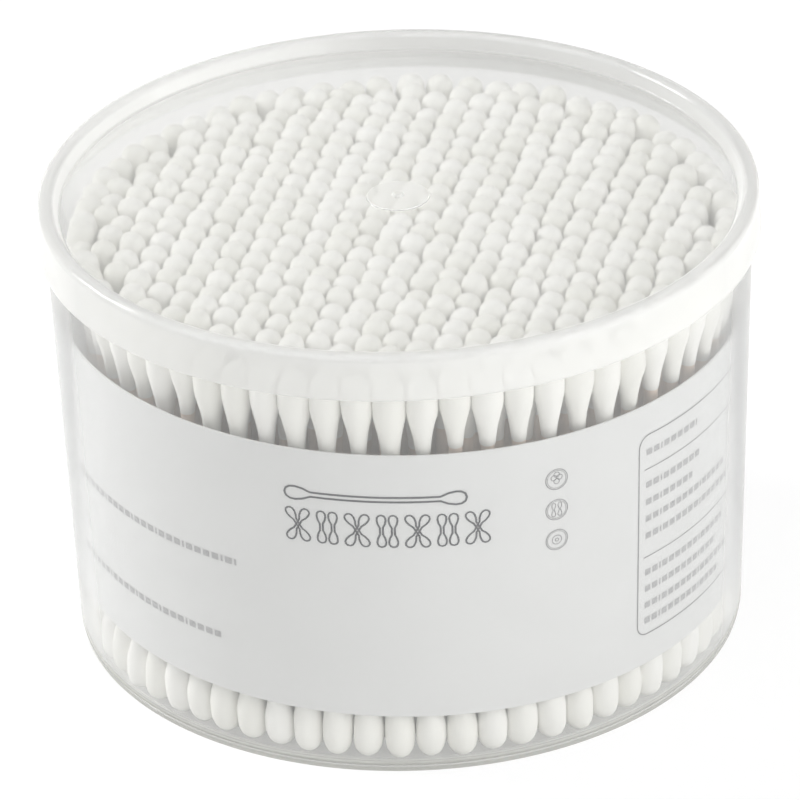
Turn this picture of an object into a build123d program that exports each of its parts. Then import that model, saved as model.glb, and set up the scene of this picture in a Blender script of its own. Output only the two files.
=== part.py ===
"""Cotton swab tub: a clear drafted tub with a lift-off lid, a paper band inside its wall and the swabs it holds.

Millimetres, +Z up, origin at the centre of the foot, on the surface that the tub stands on.
"""
import os
from math import cos, pi, radians, sin, sqrt, tan

import numpy as np
from build123d import *

# Tub
rim_radius = 61.1
wall_draft = 1.5
wall_thickness = 1.1
floor_thickness = 0.9
foot_height = 0.3
foot_width = 2.2
foot_chamfer = 0.5

# Lid
lid_clearance = 0.3
skirt_length = 8.3
skirt_thickness = 1.0
skirt_draft = 2.6
lid_web = 1.0
crest_chamfer_width = 0.6
crest_chamfer_height = 0.7
plug_thickness = 1.0
plug_taper = 22.0
headroom = 1.6
panel_recess = 2.5
panel_thickness = 0.9
panel_slope_width = 1.0
gate_radius = 5.3
gate_height = 0.25

# Label band
label_thickness = 0.3
label_gap = 0.1
label_low_edge = 11.5
label_height = 51.6

# Swabs
swab_length = 75.0
swab_spacing = 4.92
ring_spacing = 5.17
head_radius = 2.3
head_shoulder = 3.8
head_length = 15.0
stick_radius = 1.15
swab_clearance = 0.2
swab_stand_gap = 0.1
swab_height_spread = 0.7
swab_sides = 4

# The pack's own disorder: the rows turn a little from the front, and the left of the pack is looser
row_turn = -13.0
pack_seed = 11
settle_rounds = 200
neat_wander = 0.15
loose_wander = 0.9

# Heights: the swabs stand on the floor, the lid's panel clears them, and the tub's rim comes up to the lid
floor_top = foot_height + floor_thickness
panel_under = floor_top + swab_stand_gap + swab_height_spread + swab_length + headroom
panel_top = panel_under + panel_thickness
lid_top = panel_top + panel_recess
web_under = lid_top - lid_web
tub_height = web_under - lid_clearance

# The drafted wall
draft_slope = tan(radians(wall_draft))
foot_radius = rim_radius - tub_height * draft_slope


def wall_radius(height):
    """Outer radius of the drafted wall at a height above the foot."""
    return foot_radius + height * draft_slope


def bore_radius(height):
    """Inner radius of the drafted wall at a height above the foot."""
    return wall_radius(height) - wall_thickness


# Tub: one revolved section, with a foot ring round a raised floor. The long walls are straight Bezier lines,
# whose turned faces need no rings of facets between their edges.
with BuildPart() as tub:
    with BuildSketch(Plane.XZ):
        with BuildLine():
            foot_line = Polyline(
                (0, floor_top),
                (0, foot_height),
                (foot_radius - foot_width, foot_height),
                (foot_radius - foot_width, 0),
                (foot_radius - foot_chamfer, 0),
                (wall_radius(foot_chamfer), foot_chamfer),
            )
            outer_wall = Bezier(foot_line @ 1, (rim_radius, tub_height))
            rim_line = Line(outer_wall @ 1, (bore_radius(tub_height), tub_height))
            inner_wall = Bezier(rim_line @ 1, (bore_radius(floor_top), floor_top))
            Line(inner_wall @ 1, foot_line @ 0)
        make_face()
    revolve(axis=Axis.Z)

# Lid: a channel that straddles the rim, and a recessed panel inside it
skirt_foot = lid_top - skirt_length
skirt_bore = rim_radius + lid_clearance
skirt_radius = skirt_bore + skirt_thickness
crest_corner = lid_top - crest_chamfer_height
skirt_top_radius = skirt_radius - (crest_corner - skirt_foot) * tan(radians(skirt_draft))
plug_slope = tan(radians(plug_taper))
plug_radius = bore_radius(tub_height) - lid_clearance
plug_foot_radius = plug_radius - (web_under - panel_under) * plug_slope
plug_bore = plug_radius - plug_thickness
panel_radius = plug_bore - panel_slope_width

with BuildPart() as lid:
    with BuildSketch(Plane.XZ):
        with BuildLine():
            under_line = Polyline(
                (0, panel_top),
                (0, panel_under),
                (plug_foot_radius, panel_under),
                (plug_radius, web_under),
                (skirt_bore, web_under),
                (skirt_bore, skirt_foot),
                (skirt_radius, skirt_foot),
            )
            skirt_face = Bezier(under_line @ 1, (skirt_top_radius, crest_corner))
            Polyline(
                skirt_face @ 1,
                (skirt_top_radius - crest_chamfer_width, lid_top),
                (plug_bore + crest_chamfer_width, lid_top),
                (plug_bore, crest_corner),
                (panel_radius, panel_top),
                under_line @ 0,
            )
        make_face()
    revolve(axis=Axis.Z)
    with BuildSketch(Plane.XY.offset(panel_top)):
        Circle(gate_radius)
    extrude(amount=gate_height)

# Label: a paper band that lies against the inside of the wall
label_high_edge = label_low_edge + label_height
label_low_radius = bore_radius(label_low_edge) - label_gap
label_high_radius = bore_radius(label_high_edge) - label_gap

with BuildPart() as label:
    with BuildSketch(Plane.XZ):
        with BuildLine():
            printed_side = Bezier((label_low_radius, label_low_edge), (label_high_radius, label_high_edge))
            high_edge = Line(printed_side @ 1, (label_high_radius - label_thickness, label_high_edge))
            plain_side = Bezier(high_edge @ 1, (label_low_radius - label_thickness, label_low_edge))
            Line(plain_side @ 1, printed_side @ 0)
        make_face()
    revolve(axis=Axis.Z)

# Where the swabs stand: a ring against the label, and straight rows inside it that settle against the ring.
# All of them fan out with the wall's draft.
ring_radius = bore_radius(floor_top) - label_gap - label_thickness - swab_clearance - head_radius
ring_count = int(2 * pi * ring_radius / ring_spacing)
fan = draft_slope / ring_radius
row_spacing = swab_spacing * sqrt(3) / 2
rng = np.random.default_rng(pack_seed)


def ring_points():
    """Foot points of the swabs that stand against the label."""
    turns = np.arange(ring_count) * 2 * pi / ring_count
    return ring_radius * np.column_stack([np.cos(turns), np.sin(turns)])


def row_points(ring):
    """Foot points of the inner swabs, and the row that each one belongs to."""
    reach = ring_radius - 0.65 * swab_spacing
    half_rows = int(reach / row_spacing)
    half_length = int(reach / swab_spacing) + 1
    across = np.array([cos(radians(row_turn)), sin(radians(row_turn))])
    along = np.array([-across[1], across[0]])
    places = []
    rows = []
    for row in range(-half_rows, half_rows + 1):
        for step in range(-half_length, half_length + 1):
            spot = row * row_spacing * across + (step + row % 2 / 2) * swab_spacing * along
            if np.hypot(*spot) < reach:
                places.append(spot)
                rows.append(row + half_rows)
    places = np.array(places)
    looseness = np.clip(-places[:, 0] / ring_radius, 0, 1)[:, None]
    wander = neat_wander + (loose_wander - neat_wander) * looseness ** 2
    places = places + wander * rng.uniform(-1, 1, places.shape)
    for _ in range(settle_rounds):
        offset = places[:, None] - np.vstack([places, ring])[None]
        distance = np.hypot(offset[..., 0], offset[..., 1])
        distance[distance == 0] = np.inf
        overlap = np.clip(swab_spacing - distance, 0, None) / distance
        places = places + 0.5 * (offset * overlap[..., None]).sum(axis=1)
    return places, np.array(rows)


def swab_place(spot):
    """Where one swab stands: on the floor, leaning out with the wall, at its own small height."""
    lift = floor_top + swab_stand_gap + swab_height_spread * rng.random()
    return Plane(origin=(spot[0], spot[1], lift), z_dir=(spot[0] * fan, spot[1] * fan, 1)).location


def swab_outline(head_width, stick_width):
    """Side view of a swab, from the tip that it stands on to the top one and back down the other side."""
    one_side = [
        (0, 0),
        (head_width, head_shoulder),
        (stick_width, head_length),
        (stick_width, swab_length - head_length),
        (head_width, swab_length - head_shoulder),
        (0, swab_length),
    ]
    other_side = [(-across, height) for across, height in reversed(one_side[1:-1])]
    return one_side + other_side


# A swab of the outer ring, seen through the wall: two cotton heads on a slim stick. Its side view is cut
# from each pair of sides in turn, which leaves them flat all the way up.
flat_share = cos(pi / swab_sides)
with BuildPart() as ring_swab:
    for cut in range(swab_sides // 2):
        turn = cut * 2 * pi / swab_sides
        with BuildSketch(Plane(origin=(0, 0, 0), x_dir=(cos(turn), sin(turn), 0), z_dir=(sin(turn), -cos(turn), 0))):
            with BuildLine():
                Polyline(*swab_outline(head_radius * flat_share, stick_radius * flat_share), close=True)
            make_face()
        extrude(amount=2 * head_radius, both=True, mode=Mode.INTERSECT if cut else Mode.ADD)

# A swab of the rows, of which only the heads' tops show: as long and as thick, without the waist
with BuildPart() as row_swab:
    with BuildSketch(Plane.XY.offset(head_shoulder)) as low_shoulder:
        RegularPolygon(head_radius, swab_sides)
    with BuildSketch(Plane.XY.offset(swab_length - head_shoulder)) as high_shoulder:
        RegularPolygon(head_radius, swab_sides)
    loft(
        sections=[Vertex(0, 0, 0), low_shoulder.sketch.faces()[0], high_shoulder.sketch.faces()[0],
                  Vertex(0, 0, swab_length)],
        ruled=True,
    )

ring = ring_points()
places, rows = row_points(ring)
swab_groups = {"swabs_outer_ring": Compound(children=[ring_swab.part.moved(swab_place(spot)) for spot in ring])}
for row in range(rows.max() + 1):
    standing = [row_swab.part.moved(swab_place(spot)) for spot in places[rows == row]]
    swab_groups[f"swabs_row_{row + 1:02d}"] = Compound(children=standing)

# Each piece is labelled and written by itself
pieces = {"tub": tub.part, "lid": lid.part, "label": label.part, **swab_groups}
os.makedirs("parts", exist_ok=True)
for name, piece in pieces.items():
    piece.label = name
    export_step(piece, f"parts/{name}.step")
print(len(pieces), "nodes,", len(ring), "swabs in the ring,", len(places), "in the rows")
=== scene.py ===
"""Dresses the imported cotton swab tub: clear moulded plastic, a printed paper band and wound cotton swabs."""

from math import cos, hypot, pi, radians, sin, tan

import bmesh
import bpy
import numpy as np
from mathutils import Matrix, Vector


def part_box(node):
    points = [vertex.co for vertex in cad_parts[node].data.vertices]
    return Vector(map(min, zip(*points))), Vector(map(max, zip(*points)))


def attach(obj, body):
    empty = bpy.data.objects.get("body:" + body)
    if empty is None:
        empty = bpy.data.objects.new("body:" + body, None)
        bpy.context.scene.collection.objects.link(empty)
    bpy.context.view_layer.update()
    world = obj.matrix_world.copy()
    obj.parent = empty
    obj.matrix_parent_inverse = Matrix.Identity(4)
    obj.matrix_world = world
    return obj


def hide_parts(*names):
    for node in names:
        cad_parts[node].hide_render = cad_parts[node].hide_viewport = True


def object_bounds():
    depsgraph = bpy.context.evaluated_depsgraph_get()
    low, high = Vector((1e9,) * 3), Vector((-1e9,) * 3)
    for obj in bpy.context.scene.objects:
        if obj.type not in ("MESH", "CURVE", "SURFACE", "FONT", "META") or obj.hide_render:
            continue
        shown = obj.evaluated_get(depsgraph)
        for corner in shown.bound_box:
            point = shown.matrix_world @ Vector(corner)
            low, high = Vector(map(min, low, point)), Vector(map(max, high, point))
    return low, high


bl_info = {
    "name": "Cotton swab tub",
    "version": (1, 0, 0),
    "blender": (4, 5, 0),
    "location": "3D View > Sidebar > Swab tub",
    "description": "Builds the looks of a clear tub packed with cotton swabs",
    "category": "Object",
}

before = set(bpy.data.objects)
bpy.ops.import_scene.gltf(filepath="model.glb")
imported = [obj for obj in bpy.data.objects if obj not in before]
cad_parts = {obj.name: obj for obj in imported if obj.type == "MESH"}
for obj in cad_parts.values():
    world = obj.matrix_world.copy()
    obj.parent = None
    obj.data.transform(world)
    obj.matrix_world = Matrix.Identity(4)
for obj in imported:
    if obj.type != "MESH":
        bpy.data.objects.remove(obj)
CAD_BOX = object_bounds()
MM = 0.001
TUB_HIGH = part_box("tub")[1]
LID_LOW, LID_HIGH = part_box("lid")
LABEL_LOW, LABEL_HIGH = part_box("label")
SWAB_NODES = sorted(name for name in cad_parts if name.startswith("swabs_"))

# Tub and lid: the parts of their sections that aren't properties
SKIRT_DRAFT = radians(2.6)
PLUG_TAPER = radians(22)
SKIRT_RISE = 0.3 * MM
FOOT_INSET = 0.15 * MM
PANEL_SLOPE = 1.0 * MM
GATE_HEIGHT = 0.25 * MM
SPRUE_HEIGHT = 0.5 * MM

# The tub is frosted below the first height, and between the other two, where its floor joins the wall.
# There its milk turns to the darker base milk: partly the thick plastic's grey, partly painted shade.
# The lid's rim is nearly as frosted, outside its panel.
FOOT_FROST_AND_SHADE = 0.86 * MM
FLOOR_FROST_AND_SHADE_LOW = 1.4 * MM
FLOOR_FROST_AND_SHADE_HIGH = 2.0 * MM
LID_FROST = 0.85
LID_FROST_INSET = 1.2 * MM

# Plastic: share of the milk's light that passes through it, and colour of its shadow
MILK_THROUGH = 0.45
SHADOW_TINT = (0.93, 0.93, 0.925, 1)

# Label: a degree's width on the band in millimetres, the print's longest step in degrees and its height
LABEL_HEIGHT = LABEL_HIGH.z - LABEL_LOW.z
LABEL_RADIUS_MM = 57.5
LABEL_SIDES = 240
LABEL_SEAM = 180.0
DEGREE = radians(1) * LABEL_RADIUS_MM
ART_STEP = 1.5
INK_LIFT = 0.05 * MM

# Half of a swab's side view: height above the tip in millimetres, and share of the head's radius
HEAD_SHAPE = ((0.0, 0.0), (0.08, 0.28), (0.32, 0.51), (0.8, 0.72), (1.5, 0.865), (2.5, 0.96), (3.8, 1.0),
              (5.8, 1.0), (7.1, 0.93), (8.3, 0.825), (9.7, 0.72), (11.1, 0.625), (12.8, 0.54), (14.6, 0.47))
BARE_STICK_MARGIN = 0.15 * MM

# How much the heads differ, as shares of their length, thickness and roundness
STRETCH = 0.1
BULK = 0.03
OVAL = 0.04

# Lumps round a head: their size as a share of its radius, and how fast they wind up it, in radians a metre
COARSE_LUMPS = 0.018
COARSE_WINDING = 500
FINE_LUMPS = 0.012
FINE_WINDING = 900

# In millimetres: how far a head's tip shifts aside, and how much the heights of the swabs' feet differ
TIP_SHIFT = 0.38
FOOT_SPREAD = 0.15

# The tip's shift fades out over this length of the head
TIP_LENGTH = 6 * MM

# A ring of points this much wider than the stick belongs to a head
HEAD_MARGIN = 1.02

# Stage: the floor's size and how far it lies under the foot, its glow, and the lamps
FLOOR_REACH = 3.0
FLOOR_DROP = 0.05 * MM
GLOW_SHARE = 0.8
GLOW_STRENGTH = 1.06
LAMP_AIM = (0, 0, 0.05)
KEY_PLACE = (-0.8, 0.3, 0.6)
KEY_SIZE = 0.4
RIGHT_FILL_PLACE = (0.85, -0.55, 0.45)
LEFT_FILL_PLACE = (-0.7, -0.75, 0.4)
FILL_SIZE = 1.4

# Camera: height of the point that it turns about, and how far under and left of it the camera aims
VIEW_HEIGHT = 44.5 * MM
AIM_DROP = 4.58 * MM
AIM_LEFT = 0.68 * MM


# Properties

class TubProperties(bpy.types.PropertyGroup):
    """Sizes and plastic of the tub and its lid."""
    wall_draft: bpy.props.FloatProperty(
        name="Wall draft", description="Lean of the tub's wall", default=radians(1.5), subtype="ANGLE")
    wall_thickness: bpy.props.FloatProperty(
        name="Wall thickness", description="Thickness of the tub's wall", default=1.1 * MM, unit="LENGTH")
    floor_rise: bpy.props.FloatProperty(
        name="Floor rise", description="Height of the floor's underside above the table",
        default=0.3 * MM, unit="LENGTH")
    floor_thickness: bpy.props.FloatProperty(
        name="Floor thickness", description="Thickness of the tub's floor", default=0.9 * MM, unit="LENGTH")
    foot_width: bpy.props.FloatProperty(
        name="Foot width", description="Width of the ring that the tub stands on",
        default=2.2 * MM, unit="LENGTH")
    lid_gap: bpy.props.FloatProperty(
        name="Lid gap", description="Gap between the rim and the lid all round",
        default=0.3 * MM, unit="LENGTH")
    rim_thickness: bpy.props.FloatProperty(
        name="Rim thickness", description="Thickness of the wall at the tub's rim",
        default=0.7 * MM, unit="LENGTH")
    crest_thickness: bpy.props.FloatProperty(
        name="Crest thickness", description="Thickness of the lid over the rim",
        default=1.0 * MM, unit="LENGTH")
    plug_thickness: bpy.props.FloatProperty(
        name="Plug thickness", description="Thickness of the lid's wall inside the rim",
        default=0.6 * MM, unit="LENGTH")
    panel_recess: bpy.props.FloatProperty(
        name="Panel recess", description="Depth of the lid's panel under its crest",
        default=2.5 * MM, unit="LENGTH")
    panel_thickness: bpy.props.FloatProperty(
        name="Panel thickness", description="Thickness of the lid's panel", default=0.9 * MM, unit="LENGTH")
    gate_radius: bpy.props.FloatProperty(
        name="Gate radius", description="Radius of the moulding gate's disc on the panel",
        default=5.3 * MM, unit="LENGTH")
    sides: bpy.props.IntProperty(
        name="Sides", description="Steps round the turned pieces", default=224, min=64)
    tint: bpy.props.FloatVectorProperty(
        name="Plastic", description="Colour seen through one face of the plastic",
        default=(0.942, 0.942, 0.938), size=3, subtype="COLOR", min=0, max=1)
    milk: bpy.props.FloatVectorProperty(
        name="Milk", description="Colour of the milk in the plastic",
        default=(0.81, 0.812, 0.804), size=3, subtype="COLOR", min=0, max=1)
    lid_milk: bpy.props.FloatVectorProperty(
        name="Lid milk", description="Colour of the milk in the lid's rim and gate disc",
        default=(0.9, 0.9, 0.89), size=3, subtype="COLOR", min=0, max=1)
    # Partly the thick base's own grey and partly painted shade: it darkens the frosted foot ring and floor
    # edge where they lie in shadow.
    base_milk_and_shade: bpy.props.FloatVectorProperty(
        name="Base milk", description="Colour of the milk in the tub's thick base edge",
        default=(0.65, 0.65, 0.62), size=3, subtype="COLOR", min=0, max=1)


class LabelProperties(bpy.types.PropertyGroup):
    """The paper band and its print."""
    rise: bpy.props.FloatProperty(
        name="Rise", description="How much higher the band sits than its solid",
        default=0.45 * MM, unit="LENGTH")
    tilt_x: bpy.props.FloatProperty(
        name="Tilt sideways", description="Rise of the band for each metre towards +X", default=-0.0227)
    tilt_y: bpy.props.FloatProperty(
        name="Tilt backwards", description="Rise of the band for each metre towards +Y", default=0.0212)
    thickness: bpy.props.FloatProperty(
        name="Paper thickness", description="Thickness of the band", default=0.25 * MM, unit="LENGTH")
    wall_gap: bpy.props.FloatProperty(
        name="Wall gap", description="Gap between the paper and the tub's wall",
        default=0.12 * MM, unit="LENGTH")
    paper: bpy.props.FloatVectorProperty(
        name="Paper", description="Colour of the paper", default=(0.735, 0.74, 0.74), size=3,
        subtype="COLOR", min=0, max=1)
    ink: bpy.props.FloatVectorProperty(
        name="Ink", description="Colour of the line drawings", default=(0.03, 0.032, 0.04), size=3,
        subtype="COLOR", min=0, max=1)
    fine_ink: bpy.props.FloatVectorProperty(
        name="Fine ink", description="Colour of the roundels and the ruled panel",
        default=(0.16, 0.16, 0.165), size=3, subtype="COLOR", min=0, max=1)
    row_ink: bpy.props.FloatVectorProperty(
        name="Row ink", description="Colour of the rows of small print",
        default=(0.33, 0.33, 0.335), size=3, subtype="COLOR", min=0, max=1)


class SwabProperties(bpy.types.PropertyGroup):
    """The swabs' own shape and finish."""
    head_radius: bpy.props.FloatProperty(
        name="Head radius", description="Largest radius of a cotton head", default=2.55 * MM, unit="LENGTH")
    ring_head_radius: bpy.props.FloatProperty(
        name="Ring head radius", description="Largest radius of the heads that stand against the wall",
        default=2.68 * MM, unit="LENGTH")
    stick_radius: bpy.props.FloatProperty(
        name="Stick radius", description="Radius of the stick", default=1.15 * MM, unit="LENGTH")
    sides: bpy.props.IntProperty(name="Sides", description="Steps round a swab", default=16, min=8)
    variation: bpy.props.FloatProperty(
        name="Variation", description="How much the heads differ from one another",
        default=1.0, min=0, max=2)
    stand_height: bpy.props.FloatProperty(
        name="Stand height", description="Height of the lowest swab tips, just over the tub's floor",
        default=1.28 * MM, unit="LENGTH")
    top_drop: bpy.props.FloatProperty(
        name="Top drop", description="How much lower a swab's top is than its solid's, on average",
        default=1.3 * MM, unit="LENGTH")
    height_spread: bpy.props.FloatProperty(
        name="Height spread", description="How much higher or lower one swab's top may be than the next",
        default=0.5 * MM, unit="LENGTH")
    side_slack: bpy.props.FloatProperty(
        name="Side slack", description="How far the tops at the left stand in from the wall",
        default=2.1 * MM, unit="LENGTH")
    back_slack: bpy.props.FloatProperty(
        name="Back slack", description="How far the tops at the back stand in from the wall",
        default=2.4 * MM, unit="LENGTH")
    row_spread: bpy.props.FloatProperty(
        name="Row spread", description="How far a row's top would lean out if it stood at the wall",
        default=1.15 * MM, unit="LENGTH")
    seed: bpy.props.IntProperty(name="Seed", description="Seed of the swabs' differences", default=5)
    cotton: bpy.props.FloatVectorProperty(
        name="Cotton", description="Colour of the cotton", default=(0.93, 0.925, 0.9), size=3,
        subtype="COLOR", min=0, max=1)
    stick: bpy.props.FloatVectorProperty(
        name="Stick", description="Colour of the bamboo stick", default=(0.9, 0.73, 0.61), size=3,
        subtype="COLOR", min=0, max=1)


class StageProperties(bpy.types.PropertyGroup):
    """Floor, light and camera."""
    camera_rise: bpy.props.FloatProperty(
        name="Camera rise", description="Angle at which the camera looks down", default=radians(29.08),
        subtype="ANGLE")
    camera_roll: bpy.props.FloatProperty(
        name="Camera roll", description="Lean of the camera, in the picture's plane",
        default=radians(-1.88), subtype="ANGLE")
    camera_distance: bpy.props.FloatProperty(
        name="Camera distance", description="Distance from the camera to the tub's middle",
        default=0.9656, unit="LENGTH")
    lens: bpy.props.FloatProperty(
        name="Lens", description="Focal length of the camera on a 36 mm sensor", default=248.0,
        unit="CAMERA")
    sky: bpy.props.FloatProperty(
        name="Sky", description="Strength of the even light from all round", default=0.45, min=0)
    key: bpy.props.FloatProperty(
        name="Key", description="Power of the soft lamp behind, above and to the left", default=7.6, min=0)
    left_fill: bpy.props.FloatProperty(
        name="Left fill", description="Power of the wide soft lamp low in front on the left",
        default=2.8, min=0)
    right_fill: bpy.props.FloatProperty(
        name="Right fill", description="Power of the wide soft lamp low in front on the right",
        default=11.0, min=0)


# Mesh helpers

def new_piece(name, points, faces, body, materials, smooth=True):
    """Makes a mesh object that rides on a body and takes its finish from a slot."""
    mesh = bpy.data.meshes.new(name)
    mesh.from_pydata([tuple(point) for point in points], [], [tuple(face) for face in faces])
    mesh.validate()
    if smooth:
        mesh.shade_smooth()
    for material in materials:
        mesh.materials.append(material)
    piece = bpy.data.objects.new(name, mesh)
    bpy.context.scene.collection.objects.link(piece)
    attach(piece, body)
    return piece


def rounded(outline, steps=4):
    """Rounds the corners of a closed outline of (radius, height, corner radius) points, each over less than
    half of a side. A point a little before and after it keeps the long faces' shading flat up to it."""
    margin = 0.04 * MM
    side_share = 0.45
    result = []
    count = len(outline)
    for index, (across, height, corner) in enumerate(outline):
        here = Vector((across, height))
        if corner <= 0:
            result.append(here)
            continue
        to_last = Vector(outline[index - 1][:2]) - here
        to_next = Vector(outline[(index + 1) % count][:2]) - here
        half = to_last.angle(to_next) / 2
        reach = min(corner / tan(half), side_share * to_last.length, side_share * to_next.length)
        first = here + to_last.normalized() * reach
        last = here + to_next.normalized() * reach
        result.append(first + to_last.normalized() * margin)
        for step in range(steps + 1):
            share = step / steps
            result.append(first * (1 - share) ** 2 + here * 2 * share * (1 - share) + last * share ** 2)
        result.append(last + to_next.normalized() * margin)
    return result


def turned_mesh(outline, sides):
    """Turns a closed outline about the Z axis. Points on the axis become single points."""
    points = []
    rings = []
    for across, height in outline:
        if across < 1e-7:
            rings.append([len(points)] * sides)
            points.append((0, 0, height))
            continue
        rings.append(list(range(len(points), len(points) + sides)))
        turns = [2 * pi * step / sides for step in range(sides)]
        points += [(across * cos(turn), across * sin(turn), height) for turn in turns]
    faces = []
    for index, ring in enumerate(rings):
        above = rings[(index + 1) % len(rings)]
        if ring[0] == ring[1] and above[0] == above[1]:
            continue
        for step in range(sides):
            after = (step + 1) % sides
            corners = [ring[step], ring[after], above[after], above[step]]
            faces.append(list(dict.fromkeys(corners)))
    return points, faces


def add_frost(piece, amount):
    """Marks how frosted the plastic is at each point, from 0 to 1, by a function of radius and height."""
    frost = piece.data.attributes.new("frost", "FLOAT", "POINT")
    values = [amount(hypot(vertex.co.x, vertex.co.y), vertex.co.z) for vertex in piece.data.vertices]
    frost.data.foreach_set("value", values)


def face_outwards(piece):
    """Turns a closed piece's faces outwards."""
    work = bmesh.new()
    work.from_mesh(piece.data)
    bmesh.ops.recalc_face_normals(work, faces=work.faces)
    work.to_mesh(piece.data)
    work.free()


# Materials

def new_material(name):
    """An empty node material, with its Principled shader."""
    material = bpy.data.materials.new(name)
    material.use_nodes = True
    return material, material.node_tree, material.node_tree.nodes["Principled BSDF"]


def add_node(tree, kind, **values):
    """Adds a node and sets its named inputs, or its own settings where it has no such input."""
    node = tree.nodes.new(kind)
    for key, value in values.items():
        socket = node.inputs.get(key.title())
        if socket is not None:
            socket.default_value = value
        else:
            setattr(node, key, value)
    return node


def add_noise(tree, coordinates, **values):
    """Adds a noise texture fixed to the piece."""
    noise = add_node(tree, "ShaderNodeTexNoise", **values)
    tree.links.new(coordinates.outputs["Object"], noise.inputs["Vector"])
    return noise


def add_colour_mix(tree, share, first, second):
    """Mixes two colours by a node's value and gives the mixed colour's socket."""
    mix = add_node(tree, "ShaderNodeMixRGB", blend_type="MIX")
    mix.inputs["Color1"].default_value = (*first, 1)
    mix.inputs["Color2"].default_value = (*second, 1)
    tree.links.new(share, mix.inputs["Fac"])
    return mix.outputs["Color"]


def add_bump(tree, shader, height, strength, distance):
    """Roughens a shader's surface by a height."""
    bump = add_node(tree, "ShaderNodeBump", strength=strength, distance=distance)
    tree.links.new(height, bump.inputs["Height"])
    tree.links.new(bump.outputs["Normal"], shader.inputs["Normal"])


def shades(colour, dark, light):
    """A darker and a lighter shade of a colour."""
    return [dark * share for share in colour], [min(1, light * share) for share in colour]


def seen_rays(tree):
    """1 for rays of the camera, of reflections and through the plastic, and 0 for all other light."""
    rays = add_node(tree, "ShaderNodeLightPath")
    seen = add_node(tree, "ShaderNodeMath", operation="MAXIMUM")
    through = add_node(tree, "ShaderNodeMath", operation="MAXIMUM")
    tree.links.new(rays.outputs["Is Camera Ray"], seen.inputs[0])
    tree.links.new(rays.outputs["Is Glossy Ray"], seen.inputs[1])
    tree.links.new(seen.outputs["Value"], through.inputs[0])
    tree.links.new(rays.outputs["Is Transmission Ray"], through.inputs[1])
    return through.outputs["Value"]


def moulded_plastic(name, look, milk, edge_milk, edge_start, frost_milk, frost_tint, roughness):
    """Clear plastic with some milk in it, more where it is seen along its surface or where it is frosted.
    Shadows let most of the light through."""
    material, tree, clear = new_material(name)
    clear.inputs["Base Color"].default_value = (*look.tint, 1)
    clear.inputs["Transmission Weight"].default_value = 1.0
    clear.inputs["IOR"].default_value = 1.47
    ripple = add_noise(tree, add_node(tree, "ShaderNodeTexCoord"), scale=60.0, detail=2.0)
    gloss = add_node(tree, "ShaderNodeMapRange")
    gloss.inputs["To Min"].default_value = roughness * 0.7
    gloss.inputs["To Max"].default_value = roughness * 1.3
    tree.links.new(ripple.outputs["Fac"], gloss.inputs["Value"])
    tree.links.new(gloss.outputs["Result"], clear.inputs["Roughness"])
    add_bump(tree, clear, ripple.outputs["Fac"], strength=0.05, distance=0.3 * MM)

    frost = add_node(tree, "ShaderNodeAttribute", attribute_name="frost")
    # Frosted parts take frost_tint as their milk colour; on the tub that is the darker base milk, partly
    # painted shade.
    milk_colour = add_colour_mix(tree, frost.outputs["Fac"], look.milk, frost_tint)
    front = add_node(tree, "ShaderNodeBsdfDiffuse")
    tree.links.new(milk_colour, front.inputs["Color"])
    through = add_node(tree, "ShaderNodeBsdfTranslucent")
    tree.links.new(milk_colour, through.inputs["Color"])
    milky = add_node(tree, "ShaderNodeMixShader")
    milky.inputs[0].default_value = MILK_THROUGH
    tree.links.new(front.outputs["BSDF"], milky.inputs[1])
    tree.links.new(through.outputs["BSDF"], milky.inputs[2])
    facing = add_node(tree, "ShaderNodeLayerWeight")
    facing.inputs["Blend"].default_value = 0.5
    share = add_node(tree, "ShaderNodeMapRange")
    share.inputs["From Min"].default_value = edge_start
    share.inputs["To Min"].default_value = milk
    share.inputs["To Max"].default_value = edge_milk
    tree.links.new(facing.outputs["Facing"], share.inputs["Value"])
    whole = add_node(tree, "ShaderNodeMath", operation="MULTIPLY_ADD", use_clamp=True)
    whole.inputs[1].default_value = frost_milk
    tree.links.new(frost.outputs["Fac"], whole.inputs[0])
    tree.links.new(share.outputs["Result"], whole.inputs[2])
    body = add_node(tree, "ShaderNodeMixShader")
    tree.links.new(whole.outputs["Value"], body.inputs[0])
    tree.links.new(clear.outputs["BSDF"], body.inputs[1])
    tree.links.new(milky.outputs["Shader"], body.inputs[2])

    rays = add_node(tree, "ShaderNodeLightPath")
    open_shade = add_node(tree, "ShaderNodeBsdfTransparent")
    open_shade.inputs["Color"].default_value = SHADOW_TINT
    mixed = add_node(tree, "ShaderNodeMixShader")
    unseen = add_node(tree, "ShaderNodeMath", operation="MAXIMUM")
    tree.links.new(rays.outputs["Is Shadow Ray"], unseen.inputs[0])
    tree.links.new(rays.outputs["Is Diffuse Ray"], unseen.inputs[1])
    tree.links.new(unseen.outputs["Value"], mixed.inputs[0])
    tree.links.new(body.outputs["Shader"], mixed.inputs[1])
    tree.links.new(open_shade.outputs["BSDF"], mixed.inputs[2])
    tree.links.new(mixed.outputs["Shader"], tree.nodes["Material Output"].inputs["Surface"])
    return material


def label_paper(colour):
    """Matt paper with a faint fibre mottle."""
    material, tree, shader = new_material("label_paper")
    coordinates = add_node(tree, "ShaderNodeTexCoord")
    fibres = add_noise(tree, coordinates, scale=2600.0, detail=4.0)
    mottle = add_noise(tree, coordinates, scale=90.0, detail=3.0)
    shade = add_colour_mix(tree, mottle.outputs["Fac"], *shades(colour, 0.97, 1.03))
    tree.links.new(shade, shader.inputs["Base Color"])
    add_bump(tree, shader, fibres.outputs["Fac"], strength=0.15, distance=0.05 * MM)
    shader.inputs["Roughness"].default_value = 0.62
    shader.inputs["Specular IOR Level"].default_value = 0.35
    return material


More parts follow.
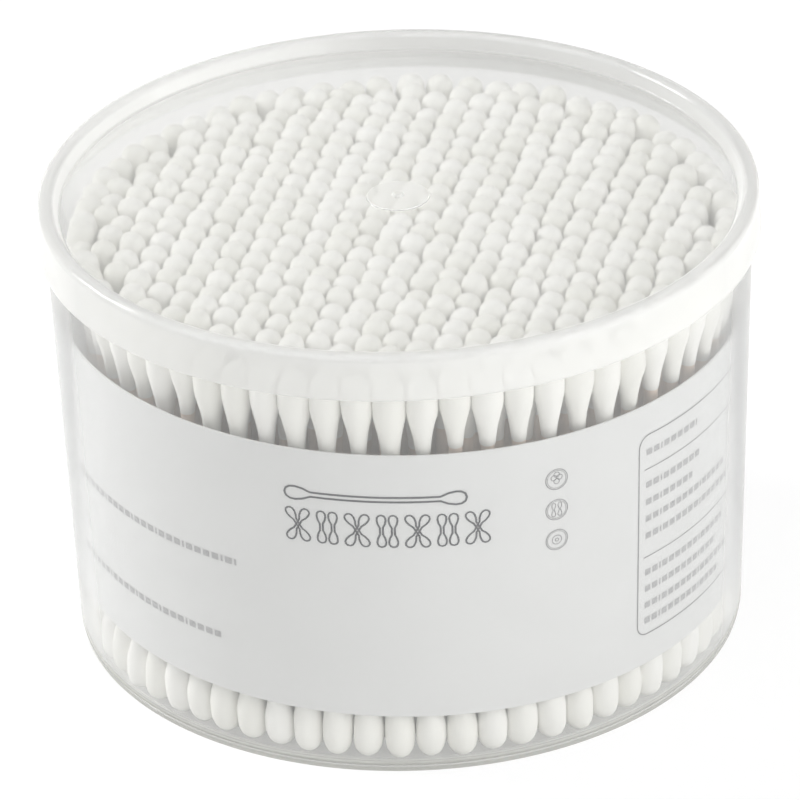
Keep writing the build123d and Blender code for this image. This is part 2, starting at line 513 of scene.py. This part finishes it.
def print_ink(name, colour):
    """Matt ink, a little uneven where it lies on the paper's fibres."""
    material, tree, shader = new_material(name)
    grain = add_noise(tree, add_node(tree, "ShaderNodeTexCoord"), scale=1800.0, detail=3.0)
    shade = add_colour_mix(tree, grain.outputs["Fac"], *shades(colour, 0.8, 1.6))
    tree.links.new(shade, shader.inputs["Base Color"])
    shader.inputs["Roughness"].default_value = 0.55
    return material


def wound_cotton(colour):
    """Matt cotton: soft, faintly fuzzy, with a tone of its own for each swab and fine fibres."""
    material, tree, shader = new_material("wound_cotton")
    coordinates = add_node(tree, "ShaderNodeTexCoord")
    fibres = add_noise(tree, coordinates, scale=1500.0, detail=5.0, roughness=0.65)
    tufts = add_noise(tree, coordinates, scale=420.0, detail=3.0)
    tone = add_node(tree, "ShaderNodeAttribute", attribute_name="tone")
    creamy = (0.95 * colour[0], 0.95 * colour[1], 0.925 * colour[2])
    white = [min(1, 1.02 * share) for share in colour]
    tree.links.new(add_colour_mix(tree, tone.outputs["Fac"], creamy, white), shader.inputs["Base Color"])
    height = add_node(tree, "ShaderNodeMath", operation="MULTIPLY_ADD")
    height.inputs[1].default_value = 2.5
    tree.links.new(tufts.outputs["Fac"], height.inputs[0])
    tree.links.new(fibres.outputs["Fac"], height.inputs[2])
    add_bump(tree, shader, height.outputs["Value"], strength=0.35, distance=0.12 * MM)
    shader.inputs["Roughness"].default_value = 0.95
    shader.inputs["Specular IOR Level"].default_value = 0.12
    shader.inputs["Sheen Weight"].default_value = 0.15
    shader.inputs["Sheen Roughness"].default_value = 0.6
    return material


def bamboo(colour):
    """Pale bamboo with fine lengthwise grain."""
    material, tree, shader = new_material("bamboo_stick")
    coordinates = add_node(tree, "ShaderNodeTexCoord")
    stretch = add_node(tree, "ShaderNodeMapping")
    stretch.inputs["Scale"].default_value = (1, 1, 0.04)
    grain = add_node(tree, "ShaderNodeTexNoise", scale=2400.0, detail=4.0)
    tree.links.new(coordinates.outputs["Object"], stretch.inputs["Vector"])
    tree.links.new(stretch.outputs["Vector"], grain.inputs["Vector"])
    shade = add_colour_mix(tree, grain.outputs["Fac"], *shades(colour, 0.8, 1.12))
    tree.links.new(shade, shader.inputs["Base Color"])
    shader.inputs["Roughness"].default_value = 0.6
    return material


# Tub and lid

def wall_radius(height, inset=0.0):
    """Outer radius of the drafted wall at a height, less an inset."""
    look = bpy.context.scene.swab_tub
    return TUB_HIGH.x - (TUB_HIGH.z - height) * tan(look.wall_draft) - inset


def plug_radius(look):
    """Radius of the lid's plug wall where it meets the crest."""
    return wall_radius(TUB_HIGH.z, look.rim_thickness) - look.lid_gap


def tub_outline():
    """Section of the tub, from the axis under the floor round to the axis above it."""
    look = bpy.context.scene.swab_tub
    wall = look.wall_thickness
    top = TUB_HIGH.z
    floor_top = look.floor_rise + look.floor_thickness
    foot = wall_radius(0)
    return rounded([
        (0, look.floor_rise, 0),
        (foot - look.foot_width - 0.3 * MM, look.floor_rise, 0.2 * MM),
        (foot - look.foot_width, 0, 0.25 * MM),
        (foot - FOOT_INSET, 0, 0.15 * MM),
        (foot - FOOT_INSET, 0.85 * MM, 0.1 * MM),
        (wall_radius(0.95 * MM), 0.95 * MM, 0.25 * MM),
        (wall_radius(1.35 * MM), 1.35 * MM, 0),
        (wall_radius(1.5 * MM), 1.5 * MM, 0),
        (wall_radius(1.9 * MM), 1.9 * MM, 0),
        (wall_radius(2.5 * MM), 2.5 * MM, 0),
        (wall_radius(top), top, 0.3 * MM),
        (wall_radius(top, look.rim_thickness), top, 0.3 * MM),
        (wall_radius(LID_LOW.z + 1.2 * MM, wall), LID_LOW.z + 1.2 * MM, 0),
        (wall_radius(2.5 * MM, wall), 2.5 * MM, 0),
        (wall_radius(1.9 * MM, wall), 1.9 * MM, 0),
        (wall_radius(floor_top, wall), floor_top, 0.9 * MM),
        (0, floor_top, 0),
    ])


def lid_outline():
    """Section of the lid, from the axis under the panel out to the skirt and back over the crest."""
    look = bpy.context.scene.swab_tub
    crest = LID_HIGH.z
    panel_top = crest - look.panel_recess
    panel_under = panel_top - look.panel_thickness
    web_under = crest - look.crest_thickness
    skirt_bore = TUB_HIGH.x + look.lid_gap
    skirt_foot = LID_LOW.z + SKIRT_RISE
    skirt_radius = LID_HIGH.x
    crest_radius = skirt_radius - (crest - skirt_foot) * tan(SKIRT_DRAFT)
    plug = plug_radius(look)
    plug_foot = plug - (web_under - panel_under) * tan(PLUG_TAPER)
    plug_bore = plug - look.plug_thickness
    panel_edge = plug_bore - PANEL_SLOPE
    gate = look.gate_radius
    gate_top = panel_top + GATE_HEIGHT
    return rounded([
        (0, panel_under, 0),
        (panel_edge - 0.3 * MM, panel_under, 0),
        (panel_edge - 0.1 * MM, panel_under, 0),
        (plug_foot, panel_under, 0.5 * MM),
        (plug, web_under, 0.25 * MM),
        (skirt_bore, web_under, 0.25 * MM),
        (skirt_bore, skirt_foot, 0.15 * MM),
        (skirt_radius, skirt_foot, 0.25 * MM),
        (crest_radius, crest, 1.2 * MM),
        (plug_bore, crest, 1.1 * MM),
        (panel_edge, panel_top, 0.35 * MM),
        (gate + 0.15 * MM, panel_top, 0.1 * MM),
        (gate, gate_top, 0.1 * MM),
        (1.1 * MM, gate_top, 0.1 * MM),
        (0.8 * MM, gate_top + SPRUE_HEIGHT, 0.25 * MM),
        (0, gate_top + SPRUE_HEIGHT, 0),
    ])


class SWABTUB_OT_tub(bpy.types.Operator):
    """Makes the clear tub with its foot ring, rounded rim and floor"""
    bl_idname = "swabtub.tub"
    bl_label = "Tub"

    def execute(self, context):
        look = context.scene.swab_tub
        points, faces = turned_mesh(tub_outline(), look.sides)
        plastic = moulded_plastic("tub_plastic", look, milk=0.12, edge_milk=0.55, edge_start=0.55,
                                  frost_milk=0.5, frost_tint=look.base_milk_and_shade, roughness=0.05)
        piece = new_piece("tub_shell", points, faces, "tub", [plastic])
        face_outwards(piece)
        # The frosted foot and floor edge take the darker base milk, partly painted shade.
        add_frost(piece, lambda across, height: float(
            height < FOOT_FROST_AND_SHADE or FLOOR_FROST_AND_SHADE_LOW < height < FLOOR_FROST_AND_SHADE_HIGH))
        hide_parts("tub")
        return {"FINISHED"}


class SWABTUB_OT_lid(bpy.types.Operator):
    """Makes the clear lid: skirt, crest, plug wall, recessed panel and gate disc"""
    bl_idname = "swabtub.lid"
    bl_label = "Lid"

    def execute(self, context):
        look = context.scene.swab_tub
        points, faces = turned_mesh(lid_outline(), look.sides)
        plastic = moulded_plastic("lid_plastic", look, milk=0.11, edge_milk=0.6, edge_start=0.6,
                                  frost_milk=0.45, frost_tint=look.lid_milk, roughness=0.08)
        piece = new_piece("lid_shell", points, faces, "lid", [plastic])
        face_outwards(piece)
        panel_edge = plug_radius(look) - look.plug_thickness - LID_FROST_INSET
        disc_edge = look.gate_radius + 0.12 * MM
        disc_floor = LID_HIGH.z - look.panel_recess - 0.1 * MM
        add_frost(piece, lambda across, height: LID_FROST if across > panel_edge else float(
            across < disc_edge and height > disc_floor))
        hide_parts("lid")
        return {"FINISHED"}


# Label

def label_edge(turn, height):
    """Height above the foot of a point on the tilted band, from its height above the band's low edge."""
    look = bpy.context.scene.swab_label
    reach = wall_radius(LABEL_LOW.z, bpy.context.scene.swab_tub.wall_thickness)
    return LABEL_LOW.z + look.rise + height + reach * (look.tilt_x * cos(turn) + look.tilt_y * sin(turn))


def on_label(angle, height, lift=0.0):
    """A point on the band's printed side, by degrees from the front towards +X and height on the band."""
    look = bpy.context.scene.swab_label
    wall = bpy.context.scene.swab_tub.wall_thickness
    turn = radians(angle) - pi / 2
    level = label_edge(turn, height)
    across = wall_radius(level, wall) - look.wall_gap + lift
    return across * cos(turn), across * sin(turn), level


class LabelArt:
    """Gathers flat marks of print on the band, by degrees from the front and millimetres of height."""

    def __init__(self):
        self.points = []
        self.faces = []

    def patch(self, corners):
        """One flat face."""
        first = len(self.points)
        self.points += [on_label(angle, height * MM, INK_LIFT) for angle, height in corners]
        self.faces.append(range(first, len(self.points)))

    def bar(self, start, end, low, high):
        """A level bar between two angles, in steps short enough to follow the band."""
        steps = max(1, int(abs(end - start) / ART_STEP))
        edges = [start + (end - start) * step / steps for step in range(steps + 1)]
        for left, right in zip(edges, edges[1:]):
            self.patch([(left, low), (right, low), (right, high), (left, high)])

    def line(self, path, width, closed=False):
        """A stroke of one width along a path, in steps short enough to follow the band."""
        ends = path + path[:1] if closed else path
        flat = []
        for here, after in zip(ends, ends[1:]):
            steps = max(1, int(abs(after[0] - here[0]) / ART_STEP))
            flat += [Vector(((here[0] + (after[0] - here[0]) * step / steps) * DEGREE,
                             here[1] + (after[1] - here[1]) * step / steps)) for step in range(steps)]
        if not closed:
            flat.append(Vector((path[-1][0] * DEGREE, path[-1][1])))
        count = len(flat)
        sides = []
        for index, here in enumerate(flat):
            before = flat[index - 1] if closed or index else here
            after = flat[(index + 1) % count] if closed or index < count - 1 else here
            along = (after - before).normalized()
            across = Vector((-along.y, along.x)) * width / 2
            sides.append((here + across, here - across))
        for index in range(count if closed else count - 1):
            near, far = sides[index], sides[(index + 1) % count]
            self.patch([(point.x / DEGREE, point.y) for point in (near[1], far[1], far[0], near[0])])

    def ring(self, angle, height, radius, width, steps=28):
        """A round outline."""
        turns = [2 * pi * step / steps for step in range(steps)]
        path = [(angle + radius * cos(turn) / DEGREE, height + radius * sin(turn)) for turn in turns]
        self.line(path, width, closed=True)

    def dashes(self, start, end, height, tall, lengths, gap):
        """A row of short dashes that stands for a line of small print."""
        here = start
        index = 0
        while here < end:
            after = min(end, here + lengths[index % len(lengths)] / DEGREE)
            self.bar(here, after, height - tall / 2, height + tall / 2)
            here = after + gap / DEGREE
            index += 1

    def swab(self, angle, height, length, head, width, lean=0.0):
        """An outlined double-ended swab, upright or leaning by an angle in degrees."""
        stick = 0.34 * head
        half = length / 2
        side = [(-half, 0), (-half + 0.2 * head, 0.6 * head), (-half + 0.7 * head, 0.93 * head),
                (-half + 1.4 * head, head), (-half + 2.4 * head, 0.8 * head), (-half + 3.4 * head, stick)]
        side += [(-along, across) for along, across in reversed(side)]
        loop = side + [(along, -across) for along, across in reversed(side[1:-1])]
        tilt = radians(lean)
        path = [(angle + (across * cos(tilt) + along * sin(tilt)) / DEGREE,
                 height + along * cos(tilt) - across * sin(tilt)) for along, across in loop]
        self.line(path, width, closed=True)


def title_art():
    """The band's front: one long lying swab over a row of crossed pairs and upright pairs."""
    art = LabelArt()
    art.swab(-5.3, 43.1, 29.5, 1.25, 0.4, lean=90)
    for index in range(7):
        middle = -18.0 + index * 4.85
        if index % 2:
            art.swab(middle - 0.95, 37.0, 6.2, 0.72, 0.34)
            art.swab(middle + 0.95, 37.0, 6.2, 0.72, 0.34)
        else:
            art.swab(middle, 37.0, 6.9, 0.72, 0.34, lean=28)
            art.swab(middle, 37.0, 6.9, 0.72, 0.34, lean=-28)
    return art


def fine_art():
    """The band's fine marks: three roundels and a ruled panel."""
    art = LabelArt()
    for height in (43.5, 37.6, 31.7):
        art.ring(24.5, height, 1.95, 0.14)
        art.ring(24.5, height, 1.68, 0.09)
    for angle, rise in ((24.0, 0.35), (25.0, 0.35), (24.5, -0.35), (24.5, 0.9)):
        art.ring(angle, 43.5 + rise, 0.5, 0.13, steps=16)
    for angle in (23.95, 25.05):
        art.swab(angle, 37.6, 2.6, 0.34, 0.13)
    art.ring(24.5, 31.7, 0.85, 0.13)
    art.ring(24.5, 31.7, 0.3, 0.13, steps=12)

    left, right, low, high, corner = 40.7, 74.3, 6.0, 45.7, 2.2
    path = []
    for edge, level, start in ((right, low, -90), (right, high, 0), (left, high, 90), (left, low, 180)):
        middle = edge + (-corner if edge == right else corner) / DEGREE
        centre = level + (-corner if level == high else corner)
        for step in range(7):
            turn = radians(start + 15 * step)
            path.append((middle + corner * cos(turn) / DEGREE, centre + corner * sin(turn)))
    art.line(path, 0.24, closed=True)
    for height in (39.0, 21.6):
        art.bar(41.9, 72.9, height - 0.09, height + 0.09)
    return art


def small_print_art():
    """Rows of small blocks that stand for the band's small print, on the left and in the ruled panel."""
    art = LabelArt()
    words = (1.3, 1.3, 1.3, 0.4, 1.3, 1.3, 1.3, 0.4, 1.3, 1.3, 1.3, 1.3, 0.4)
    art.dashes(-71.5, -29.4, 26.6, 1.25, words, 0.45)
    art.dashes(-72.0, -33.0, 10.9, 1.25, words, 0.45)
    rows = ((42.3, 12.5), (35.9, 13.5), (32.5, 11.5), (29.2, 22.5), (25.8, 23.5), (18.5, 22.0), (15.2, 19.5),
            (11.9, 24.0), (8.8, 20.5))
    for height, length in rows:
        art.dashes(42.3, 42.3 + length * 1.05, height, 1.2, (1.3, 1.3, 0.35, 1.3, 1.3, 1.3, 1.3), 0.42)
    return art


class SWABTUB_OT_label(bpy.types.Operator):
    """Makes the paper band that stands a little tilted against the inside of the wall, and its print"""
    bl_idname = "swabtub.label"
    bl_label = "Label"

    def execute(self, context):
        look = context.scene.swab_label
        paper = label_paper(look.paper)
        levels = (0.0, 0.5, 1.0)
        points = []
        for lift in (0.0, -look.thickness):
            for step in range(LABEL_SIDES):
                angle = LABEL_SEAM + 360 * step / LABEL_SIDES
                points += [on_label(angle, share * LABEL_HEIGHT, lift) for share in levels]
        rows = len(levels)
        inner = LABEL_SIDES * rows
        faces = []
        for step in range(LABEL_SIDES):
            here = step * rows
            after = (step + 1) % LABEL_SIDES * rows
            for row in range(rows - 1):
                faces.append((here + row, after + row, after + row + 1, here + row + 1))
                faces.append((inner + here + row + 1, inner + after + row + 1, inner + after + row,
                              inner + here + row))
            faces.append((inner + here, inner + after, after, here))
            top, next_top = here + rows - 1, after + rows - 1
            faces.append((top, next_top, inner + next_top, inner + top))
        band = new_piece("label_band", points, faces, "tub", [paper], smooth=False)
        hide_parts("label")
        prints = (("label_marks", title_art(), look.ink), ("label_fine_marks", fine_art(), look.fine_ink),
                  ("label_small_print", small_print_art(), look.row_ink))
        for name, art, colour in prints:
            ink = print_ink(name, colour)
            new_piece(name, art.points, art.faces, "tub", [ink], smooth=False)
        return {"FINISHED"}


# Swabs

def swab_axes(node):
    """Foot and top of every swab of a CAD node: the ends of each loose part of its mesh."""
    work = bmesh.new()
    work.from_mesh(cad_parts[node].data)
    bmesh.ops.remove_doubles(work, verts=work.verts, dist=1e-7)
    seen = set()
    axes = []
    for start in work.verts:
        if start in seen:
            continue
        part = []
        waiting = [start]
        seen.add(start)
        while waiting:
            vertex = waiting.pop()
            part.append(vertex.co.copy())
            for edge in vertex.link_edges:
                other = edge.other_vert(vertex)
                if other not in seen:
                    seen.add(other)
                    waiting.append(other)
        axes.append((min(part, key=lambda point: point.z), max(part, key=lambda point: point.z)))
    work.free()
    return sorted(axes, key=lambda axis: (round(axis[0].x, 6), round(axis[0].y, 6)))


def leaning_top(look, top, in_ring):
    """Where a swab's top leans: the pack is slack at the left and the back, and its outer rows spread."""
    reach = wall_radius(top.z)
    lean = Vector((look.side_slack * max(0, -top.x), -look.back_slack * max(0, top.y), 0)) / reach
    if not in_ring:
        across = Vector((top.x, top.y, 0))
        lean += look.row_spread * across * across.length_squared / reach ** 3
    return top + lean


def swab_rings(look, length, radius, rng):
    """Heights and radii of one swab's rings, from tip to tip, with two rings of bare stick in the middle."""
    heads = []
    for _ in range(2):
        stretch = 1 + STRETCH * look.variation * rng.uniform(-1, 1)
        bulk = radius * (1 + BULK * look.variation * rng.uniform(-1, 1))
        heads.append([(height * stretch * MM, share * bulk) for height, share in HEAD_SHAPE])
    low, high = heads
    low_end = low[-1][0] + BARE_STICK_MARGIN
    high_end = length - high[-1][0] - BARE_STICK_MARGIN
    sticks = [(low_end, look.stick_radius), (high_end, look.stick_radius)]
    return low + sticks + [(length - height, radius) for height, radius in reversed(high)]


def add_swab(points, faces, tones, kinds, foot, top, head_radius, look, rng):
    """Adds one wound swab between its two ends."""
    along = (top - foot).normalized()
    foot = foot - along * (foot.z - look.stand_height - FOOT_SPREAD * MM * rng.random())
    top = top + along * (look.height_spread * look.variation * rng.uniform(-1, 1) - look.top_drop)
    length = (top - foot).length
    turn = along.to_track_quat("Z", "Y").to_matrix()
    rings = swab_rings(look, length, head_radius, rng)
    stick_ring = len(HEAD_SHAPE)
    spin = rng.uniform(0, 2 * pi)
    lean = rng.uniform(-1, 1, (2, 2)) * TIP_SHIFT * MM * look.variation
    oval = 1 + OVAL * look.variation * rng.uniform(-1, 1, 2)
    lumps = rng.uniform(0, 2 * pi, 4)
    tone = float(rng.uniform(0, 1))
    ring_ids = []
    for index, (level, radius) in enumerate(rings):
        upper = level > length / 2
        tip_distance = length - level if upper else level
        dome = max(0.0, 1 - tip_distance / TIP_LENGTH) ** 1.5
        centre = Vector((lean[int(upper)][0] * dome, lean[int(upper)][1] * dome, level))
        if radius < 1e-6:
            ring_ids.append([len(points)] * look.sides)
            points.append(foot + turn @ centre)
            tones.append(tone)
            continue
        ring_ids.append(list(range(len(points), len(points) + look.sides)))
        in_head = radius > look.stick_radius * HEAD_MARGIN
        for step in range(look.sides):
            angle = spin + 2 * pi * step / look.sides
            swell = 1.0
            if in_head:
                coarse = sin(2 * angle + lumps[0] + COARSE_WINDING * level)
                fine = sin(3 * angle + lumps[1] - FINE_WINDING * level)
                swell += COARSE_LUMPS * look.variation * coarse
                swell += FINE_LUMPS * look.variation * fine
            reach = radius * swell
            spread = oval[int(upper)] if in_head else 1.0
            offset = Vector((reach * cos(angle) * spread, reach * sin(angle) / spread, 0))
            points.append(foot + turn @ (centre + offset))
            tones.append(tone)
    for index in range(len(ring_ids) - 1):
        ring, above = ring_ids[index], ring_ids[index + 1]
        on_stick = index == stick_ring
        for step in range(look.sides):
            after = (step + 1) % look.sides
            faces.append(list(dict.fromkeys([ring[step], ring[after], above[after], above[step]])))
            kinds.append(1 if on_stick else 0)


class SWABTUB_OT_swabs(bpy.types.Operator):
    """Makes every cotton swab in its place: a bamboo stick with a wound cotton head at both ends"""
    bl_idname = "swabtub.swabs"
    bl_label = "Swabs"

    def execute(self, context):
        look = context.scene.swab_swabs
        rng = np.random.default_rng(look.seed)
        materials = [wound_cotton(look.cotton), bamboo(look.stick)]
        for node in SWAB_NODES:
            points, faces, tones, kinds = [], [], [], []
            in_ring = node == "swabs_outer_ring"
            head_radius = look.ring_head_radius if in_ring else look.head_radius
            for foot, top in swab_axes(node):
                top = leaning_top(look, top, in_ring)
                add_swab(points, faces, tones, kinds, foot, top, head_radius, look, rng)
            name = node.replace("swabs", "cotton_swabs")
            piece = new_piece(name, points, faces, "tub", materials)
            piece.data.polygons.foreach_set("material_index", kinds)
            attribute = piece.data.attributes.new("tone", "FLOAT", "POINT")
            attribute.data.foreach_set("value", tones)
            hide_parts(node)
        return {"FINISHED"}


# Stage

def floor_material():
    """A matt white floor that is seen at full white, yet keeps part of the object's shadow."""
    material, tree, shader = new_material("white_floor")
    shader.inputs["Base Color"].default_value = (0.9, 0.9, 0.9, 1)
    shader.inputs["Roughness"].default_value = 1.0
    shader.inputs["Specular IOR Level"].default_value = 0.0
    share = add_node(tree, "ShaderNodeMath", operation="MULTIPLY")
    share.inputs[1].default_value = GLOW_SHARE
    tree.links.new(seen_rays(tree), share.inputs[0])
    glow = add_node(tree, "ShaderNodeEmission")
    glow.inputs["Color"].default_value = (1, 1, 1, 1)
    glow.inputs["Strength"].default_value = GLOW_STRENGTH
    mixed = add_node(tree, "ShaderNodeMixShader")
    tree.links.new(share.outputs["Value"], mixed.inputs[0])
    tree.links.new(shader.outputs["BSDF"], mixed.inputs[1])
    tree.links.new(glow.outputs["Emission"], mixed.inputs[2])
    tree.links.new(mixed.outputs["Shader"], tree.nodes["Material Output"].inputs["Surface"])
    return material


def add_world(scene, sky):
    """Even light from all round, seen as plain white."""
    world = bpy.data.worlds.new("white_studio")
    scene.world = world
    world.use_nodes = True
    tree = world.node_tree
    background = tree.nodes["Background"]
    background.inputs["Color"].default_value = (1, 1, 1, 1)
    strength = add_node(tree, "ShaderNodeMapRange")
    strength.inputs["To Min"].default_value = sky
    strength.inputs["To Max"].default_value = 1.0
    tree.links.new(seen_rays(tree), strength.inputs["Value"])
    tree.links.new(strength.outputs["Result"], background.inputs["Strength"])


def add_lamp(name, place, size, power):
    """A round soft lamp aimed at the tub."""
    data = bpy.data.lights.new(name, "AREA")
    data.shape = "DISK"
    data.size = size
    data.energy = power
    lamp = bpy.data.objects.new(name, data)
    lamp.location = place
    lamp.rotation_euler = (Vector(LAMP_AIM) - Vector(place)).to_track_quat("-Z", "Y").to_euler()
    bpy.context.scene.collection.objects.link(lamp)


def add_camera(scene, look):
    """The photograph's view: from a little above, with a long lens."""
    middle = Vector((0, 0, VIEW_HEIGHT))
    ahead = Vector((0, cos(look.camera_rise), -sin(look.camera_rise)))
    side = Vector((1, 0, 0))
    over = side.cross(ahead)
    right = cos(look.camera_roll) * side + sin(look.camera_roll) * over
    up = -sin(look.camera_roll) * side + cos(look.camera_roll) * over
    place = middle - look.camera_distance * ahead
    aim = middle - AIM_DROP * up - AIM_LEFT * right
    back = (place - aim).normalized()
    right = up.cross(back).normalized()
    up = back.cross(right)
    data = bpy.data.cameras.new("camera")
    data.lens = look.lens
    data.sensor_width = 36
    data.clip_start = 0.05
    camera = bpy.data.objects.new("camera", data)
    turn = Matrix((right, up, back)).transposed().to_4x4()
    camera.matrix_world = Matrix.Translation(place) @ turn
    scene.collection.objects.link(camera)
    scene.camera = camera


class SWABTUB_OT_stage(bpy.types.Operator):
    """Sets the white floor, the soft light and the camera"""
    bl_idname = "swabtub.stage"
    bl_label = "Stage"

    def execute(self, context):
        scene = context.scene
        look = scene.swab_stage
        mesh = bpy.data.meshes.new("floor")
        corners = [(FLOOR_REACH * x, FLOOR_REACH * y, 0) for x, y in ((-1, -1), (1, -1), (1, 1), (-1, 1))]
        mesh.from_pydata(corners, [], [(0, 1, 2, 3)])
        mesh.materials.append(floor_material())
        floor = bpy.data.objects.new("floor", mesh)
        scene.collection.objects.link(floor)
        floor.location.z = CAD_BOX[0][2] - FLOOR_DROP
        add_world(scene, look.sky)
        add_lamp("key_lamp", KEY_PLACE, KEY_SIZE, look.key)
        add_lamp("right_fill_lamp", RIGHT_FILL_PLACE, FILL_SIZE, look.right_fill)
        add_lamp("left_fill_lamp", LEFT_FILL_PLACE, FILL_SIZE, look.left_fill)
        scene.view_settings.view_transform = "Standard"
        add_camera(scene, look)
        return {"FINISHED"}


class SWABTUB_PT_panel(bpy.types.Panel):
    """Lists the steps that build the tub"""
    bl_idname = "SWABTUB_PT_panel"
    bl_label = "Cotton swab tub"
    bl_space_type = "VIEW_3D"
    bl_region_type = "UI"
    bl_category = "Swab tub"

    def draw(self, context):
        for step in STEPS:
            self.layout.operator(step.bl_idname)


STEPS = (SWABTUB_OT_tub, SWABTUB_OT_lid, SWABTUB_OT_label, SWABTUB_OT_swabs, SWABTUB_OT_stage)
GROUPS = {
    "swab_tub": TubProperties,
    "swab_label": LabelProperties,
    "swab_swabs": SwabProperties,
    "swab_stage": StageProperties,
}


def register():
    """Registers the properties, the steps and the panel."""
    for name, group in GROUPS.items():
        bpy.utils.register_class(group)
        setattr(bpy.types.Scene, name, bpy.props.PointerProperty(type=group))
    for step in (*STEPS, SWABTUB_PT_panel):
        bpy.utils.register_class(step)


def unregister():
    """Takes the panel, the steps and the properties away again."""
    for step in reversed((*STEPS, SWABTUB_PT_panel)):
        bpy.utils.unregister_class(step)
    for name, group in GROUPS.items():
        delattr(bpy.types.Scene, name)
        bpy.utils.unregister_class(group)


def main():
    """Builds the whole scene."""
    register()
    bpy.ops.swabtub.tub()
    bpy.ops.swabtub.lid()
    bpy.ops.swabtub.label()
    bpy.ops.swabtub.swabs()
    bpy.ops.swabtub.stage()


if __name__ == "__main__":
    main()
